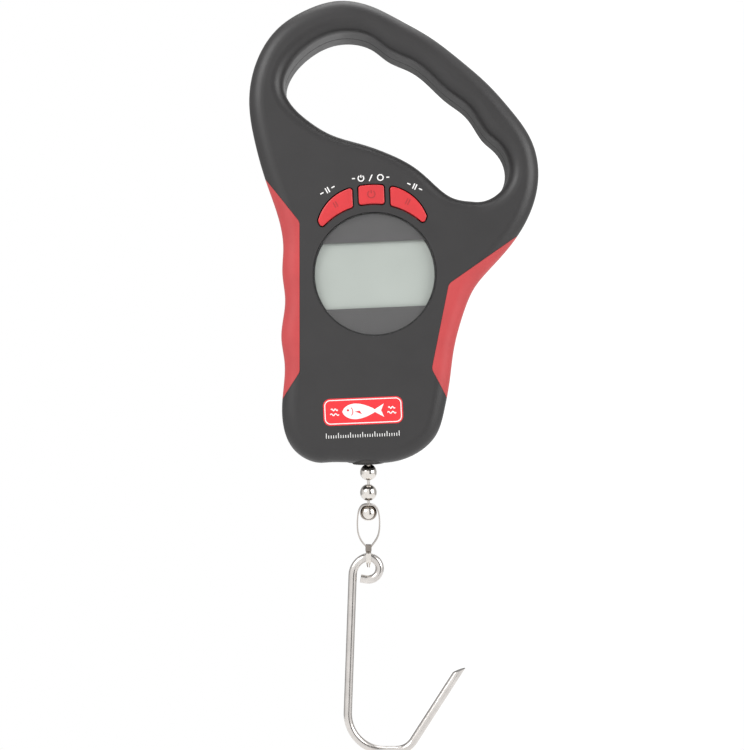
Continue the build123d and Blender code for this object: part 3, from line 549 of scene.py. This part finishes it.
def legend(name, centre, angle, lines, stroke=PRINT_STROKE):
    """White printed sign on the front cover."""
    def draw(bm):
        for line in lines:
            ribbon(bm, turned(line, centre, angle), stroke, PRINT_FRONT, PRINT_BACK)
    return piece(name, draw, "root", white_ink)


def emboss(side, centre, angle, lines):
    """Raised sign on a button, its red darkened as painted shade for the shadow lines round the emboss."""
    def draw(bm):
        for line in lines:
            ribbon(bm, turned(line, centre, angle), EMBOSS_STROKE, EMBOSS_FRONT, EMBOSS_BACK)
    return piece(f"button_{side}_sign", draw, f"button_{side}_body", sign_red_painted_shade)


def shifted(lines, across):
    return [[(x + across, z) for x, z in line] for line in lines]


DASHES = [[(-3.0, 0), (-1.7, 0)], [(1.7, 0), (3.0, 0)]]
CENTRE_DASHES = [[(-6.9, 0), (-5.8, 0)], [(5.8, 0), (6.9, 0)]]
zero_ring = [arc((0, 0), LEGEND_SIZE, 90, 450)]
slash = [[(-0.6, -1.2), (0.6, 1.2)]]
centre_lines = CENTRE_DASHES + shifted(power_sign(LEGEND_SIZE), -LEGEND_SPACING)
centre_lines += slash + shifted(zero_ring, LEGEND_SPACING)
# The signs' darker red is painted shade, standing in for the shadow lines round a raised sign.
sign_red_painted_shade = gloss_button("button_sign_painted_shade", tuple(part * SIGN_PAINTED_SHADE for part in BUTTON_COLOUR))
legend("legend_centre", clock(LEGEND_R, 0), 0, centre_lines)
for side_name, side in (("left", -1), ("right", 1)):
    spot = clock(LEGEND_R, SIDE_LEGEND_ANGLE * side)
    legend(f"legend_{side_name}", spot, SIDE_LEGEND_ANGLE * side, pause_sign(LEGEND_SIZE) + DASHES)
    spot = clock(SIDE_SIGN_R, SIDE_LEGEND_ANGLE * side)
    emboss(side_name, spot, SIDE_LEGEND_ANGLE * side, pause_sign(SIDE_SIGN_SIZE))
emboss("centre", clock(CENTRE_SIGN_R, 0), 0, power_sign(CENTRE_SIGN_SIZE))

# ---------------------------------------------------------------- badge
BADGE_CENTRE = (-6.4, -50.5)
BADGE_W, BADGE_H, BADGE_ROUND = 29.5, 10.0, 2.6
BADGE_FRONT = FACE_Y - 0.00005
PALE_FRONT, PALE_BACK = BADGE_FRONT - 0.00003, BADGE_FRONT + 0.00001
BORDER_INSET = 1.3
BORDER_STROKE, WAVE_STROKE = 0.34, 0.38
FISH_LENGTH, FISH_DEPTH = 15.5, 5.4
badge_x, badge_z = BADGE_CENTRE


def badge_plate(bm):
    plate(bm, rounded_rectangle(BADGE_CENTRE, BADGE_W, BADGE_H, BADGE_ROUND), BADGE_FRONT, PRINT_BACK)


def badge_border(bm):
    """Thin pale line just inside the badge's edge."""
    line = rounded_rectangle(BADGE_CENTRE, BADGE_W - BORDER_INSET, BADGE_H - BORDER_INSET, BADGE_ROUND - 0.6)
    ribbon(bm, line, BORDER_STROKE, PALE_FRONT, PALE_BACK, closed=True)


def fish_outline(length, depth):
    """Plain fish seen from the side, nose to the left: a tapering body and a forked tail."""
    steps = 20
    upper = []
    for step in range(steps + 1):
        along = step / steps
        height = depth / 2 * (sin(pi * along**0.72)) ** 0.85 + 0.09 * depth * along
        upper.append((-length / 2 + along * length * 0.78, height))
    tail = [(length * 0.5, depth * 0.46), (length * 0.43, 0), (length * 0.5, -depth * 0.46)]
    lower = [(x, -z) for x, z in reversed(upper[1:])]
    return upper + tail + lower


def badge_fish(bm):
    points = [(badge_x + x, badge_z + z) for x, z in fish_outline(FISH_LENGTH, FISH_DEPTH)]
    plate(bm, points, PALE_FRONT, PALE_BACK)


def badge_fish_marks(bm):
    """Eye, gill line and side fin, in the badge's red on the pale fish."""
    front, back = BADGE_FRONT - 0.00005, BADGE_FRONT - 0.00002
    plate(bm, circle((badge_x - 5.6, badge_z + 0.5), 0.42, 16), front, back)
    ribbon(bm, arc((badge_x - 5.7, badge_z), 1.9, -48, 48, 12), 0.3, front, back)
    fin = [(-3.1, -0.1), (-0.4, -1.1), (-1.3, 0.2)]
    plate(bm, [(badge_x + x, badge_z + z) for x, z in fin], front, back)


def badge_waves(bm):
    """A short water line at each side of the fish."""
    for side in (-1, 1):
        for row, half in ((0.9, 1.25), (-0.9, 1.6)):
            middle = badge_x + side * 10.6
            line = [(middle + half * share / 8, badge_z + row + 0.35 * sin(pi * share / 4))
                    for share in range(-8, 9)]
            ribbon(bm, line, WAVE_STROKE, PALE_FRONT, PALE_BACK)


piece("badge_plate", badge_plate, "root", badge_ink)
piece("badge_border", badge_border, "root", white_ink)
piece("badge_fish", badge_fish, "root", white_ink)
piece("badge_fish_marks", badge_fish_marks, "root", badge_ink)
piece("badge_waves", badge_waves, "root", white_ink)

TICK_ROW_Z = -59.2
TICK_PITCH = 0.9
TICK_COUNT = 31
TICK_MIDDLE_X = badge_x - 0.5
TICK_FOOT_Z = TICK_ROW_Z - 0.95
TICK_SHORT, TICK_TALL = 1.1, 1.9
TICK_STROKE = 0.26


def tick_row(bm):
    """A plain graduated row below the badge, every fifth mark taller."""
    for index in range(TICK_COUNT):
        x = TICK_MIDDLE_X + (index - (TICK_COUNT - 1) / 2) * TICK_PITCH
        height = TICK_TALL if index % 5 == 0 else TICK_SHORT
        ribbon(bm, [(x, TICK_FOOT_Z), (x, TICK_FOOT_Z + height)], TICK_STROKE, PRINT_FRONT, PRINT_BACK)


piece("tick_row", tick_row, "root", white_ink)

# ---------------------------------------------------------------- studio
FLOOR_DROP = 3.0
FLOOR_Z = cad_box[0][2] - FLOOR_DROP
FLOOR_R = 9.0
FLOOR_COLOUR = (0.92, 0.92, 0.92)


def floor_disc():
    """Plain pale floor under the hanging scale."""
    mesh = bpy.data.meshes.new("studio_floor")
    bm = bmesh.new()
    bmesh.ops.create_circle(bm, cap_ends=True, radius=FLOOR_R, segments=96)
    bm.to_mesh(mesh)
    bm.free()
    floor = bpy.data.objects.new("studio_floor", mesh)
    floor.location.z = FLOOR_Z
    bpy.context.scene.collection.objects.link(floor)
    shader = Shader("floor_paper", FLOOR_COLOUR, 0.9, Emission_Strength=0.42)
    shader.colour(shader.noise(0.05, 3), near(FLOOR_COLOUR, 0.01))
    mesh.materials.append(shader.material)


def soft_light(name, place, size, power, aim):
    """Square soft box that faces a point."""
    data = bpy.data.lights.new(name, "AREA")
    data.shape = "SQUARE"
    data.size = size
    data.energy = power
    light = bpy.data.objects.new(name, data)
    light.location = place
    light.rotation_euler = (Vector(aim) - Vector(place)).to_track_quat("-Z", "Y").to_euler()
    bpy.context.scene.collection.objects.link(light)


# Strength of the surroundings round the compass, in degrees from straight ahead of the display.
SURROUND = [(-180, 0.3), (-120, 0.38), (-75, 0.85), (-40, 1.0), (9, 1.0), (16, 0.1), (36, 0.1), (48, 1.0),
            (75, 0.85), (120, 0.38), (180, 0.3)]


def studio_world(strength):
    """White backdrop; the metal sees a dim strip at the right and a dim wall behind."""
    world = bpy.data.worlds.new("studio")
    world.use_nodes = True
    tree = world.node_tree

    def value(operation, *inputs):
        node = tree.nodes.new("ShaderNodeMath")
        node.operation = operation
        for socket, entry in zip(node.inputs, inputs):
            if isinstance(entry, (int, float)):
                socket.default_value = entry
            else:
                tree.links.new(entry, socket)
        return node.outputs["Value"]

    direction = tree.nodes.new("ShaderNodeSeparateXYZ")
    place = tree.nodes.new("ShaderNodeTexCoord")
    tree.links.new(place.outputs["Generated"], direction.inputs["Vector"])
    bearing = value("ARCTAN2", direction.outputs["X"], value("MULTIPLY", direction.outputs["Y"], -1))
    share = value("MULTIPLY_ADD", bearing, 0.5 / pi, 0.5)
    levels = tree.nodes.new("ShaderNodeValToRGB")
    levels.color_ramp.interpolation = "EASE"
    elements = levels.color_ramp.elements
    for index, (angle, level) in enumerate(SURROUND):
        element = elements[0] if index == 0 else elements.new(0.5 + angle / 360)
        element.position = 0.5 + angle / 360
        element.color = (level, level, level, 1)
    elements[-1].color = elements[0].color
    tree.links.new(share, levels.inputs["Fac"])
    light = value("MULTIPLY", levels.outputs["Color"], strength)
    seen = tree.nodes.new("ShaderNodeLightPath").outputs["Is Camera Ray"]
    background = tree.nodes["Background"]
    background.inputs["Color"].default_value = (1, 1, 1, 1)
    tree.links.new(value("MAXIMUM", light, seen), background.inputs["Strength"])
    bpy.context.scene.world = world


floor_disc()
studio_world(1.12)
AIM = (0.0, 0.0, -0.11)
soft_light("key_left", (-0.9, -0.8, 0.55), 0.7, 8.0, AIM)
soft_light("fill_right", (0.95, -0.6, 0.2), 0.8, 7.5, AIM)
soft_light("top", (0.0, 0.2, 1.1), 0.9, 7.0, AIM)

# ---------------------------------------------------------------- camera
CAMERA_X = 0.00133
CAMERA_Z = -0.12607
CAMERA_DISTANCE = 0.5
VIEW_HEIGHT = 0.285              # what the frame takes in at the object's middle depth
SENSOR = 24.0

camera_data = bpy.data.cameras.new("camera")
camera_data.sensor_fit = "VERTICAL"
camera_data.sensor_height = SENSOR
camera_data.lens = SENSOR * CAMERA_DISTANCE / VIEW_HEIGHT
camera_data.clip_start = 0.01
camera = bpy.data.objects.new("camera", camera_data)
camera.location = (CAMERA_X, -CAMERA_DISTANCE, CAMERA_Z)
camera.rotation_euler = (radians(90), 0, 0)
bpy.context.scene.collection.objects.link(camera)
bpy.context.scene.camera = camera
bpy.context.scene.view_settings.view_transform = "Standard"
